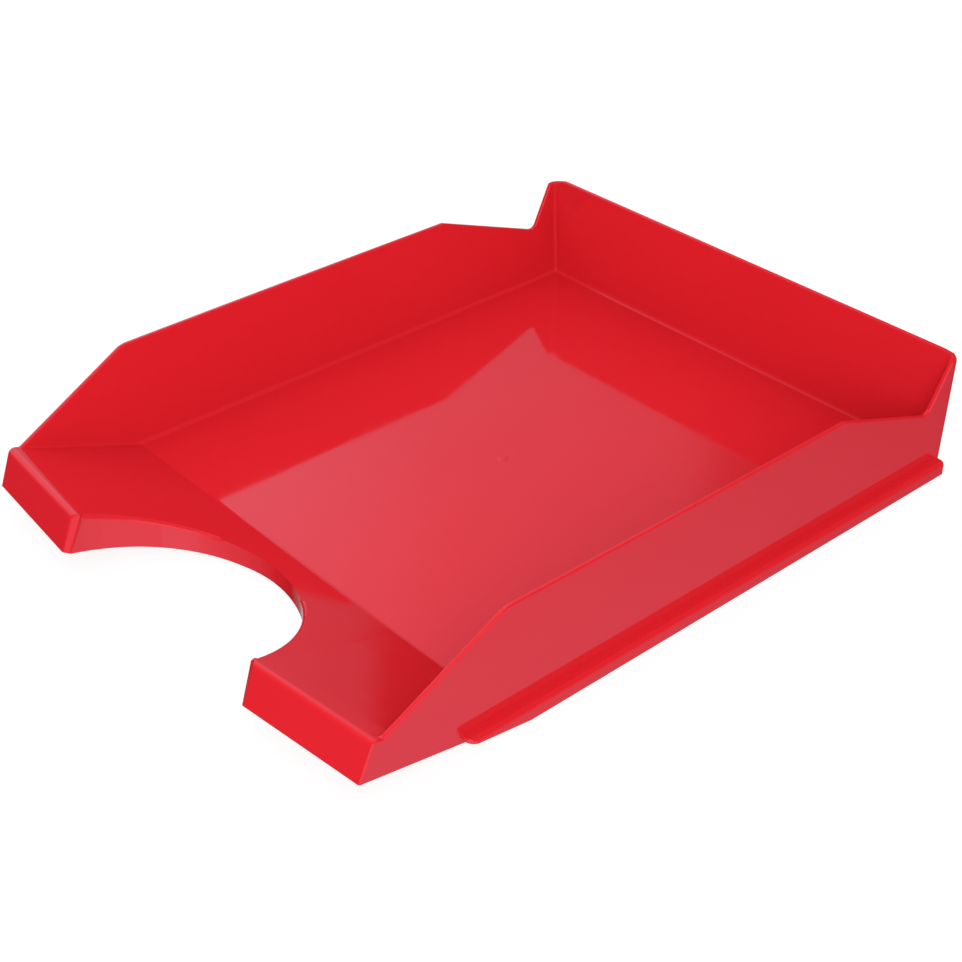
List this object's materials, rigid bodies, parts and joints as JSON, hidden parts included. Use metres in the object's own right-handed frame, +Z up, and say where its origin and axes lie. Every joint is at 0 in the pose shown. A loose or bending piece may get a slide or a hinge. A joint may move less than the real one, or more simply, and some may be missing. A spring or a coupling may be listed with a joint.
{
  "type": "letter tray",
  "caption": "Stackable desk letter tray: open thin-walled box, half-moon finger notch in its sloping front, dipped sides, raised back corners, stacking rail along the foot of each side",
  "frame": {"origin": "on the desk, under the centre of the tray's bounding box", "axes": "+X to the right seen from the front, +Y towards the back wall, +Z up"},
  "size_m": [0.2674, 0.342, 0.059],
  "materials": {
    "tray_plastic": "glossy, opaque red polystyrene with a smooth polished surface"
  },
  "bodies": {
    "root": {"floor_panel": "tray_plastic", "front_ramp": "tray_plastic", "notch_rim": "tray_plastic", "front_lip_left": "tray_plastic", "front_lip_right": "tray_plastic", "side_wall_left": "tray_plastic", "side_wall_right": "tray_plastic", "back_wall": "tray_plastic", "stacking_ledge_left": "tray_plastic", "stacking_ledge_right": "tray_plastic", "stacking_skirt_left": "tray_plastic", "stacking_skirt_right": "tray_plastic"}
  },
  "joints": []
}
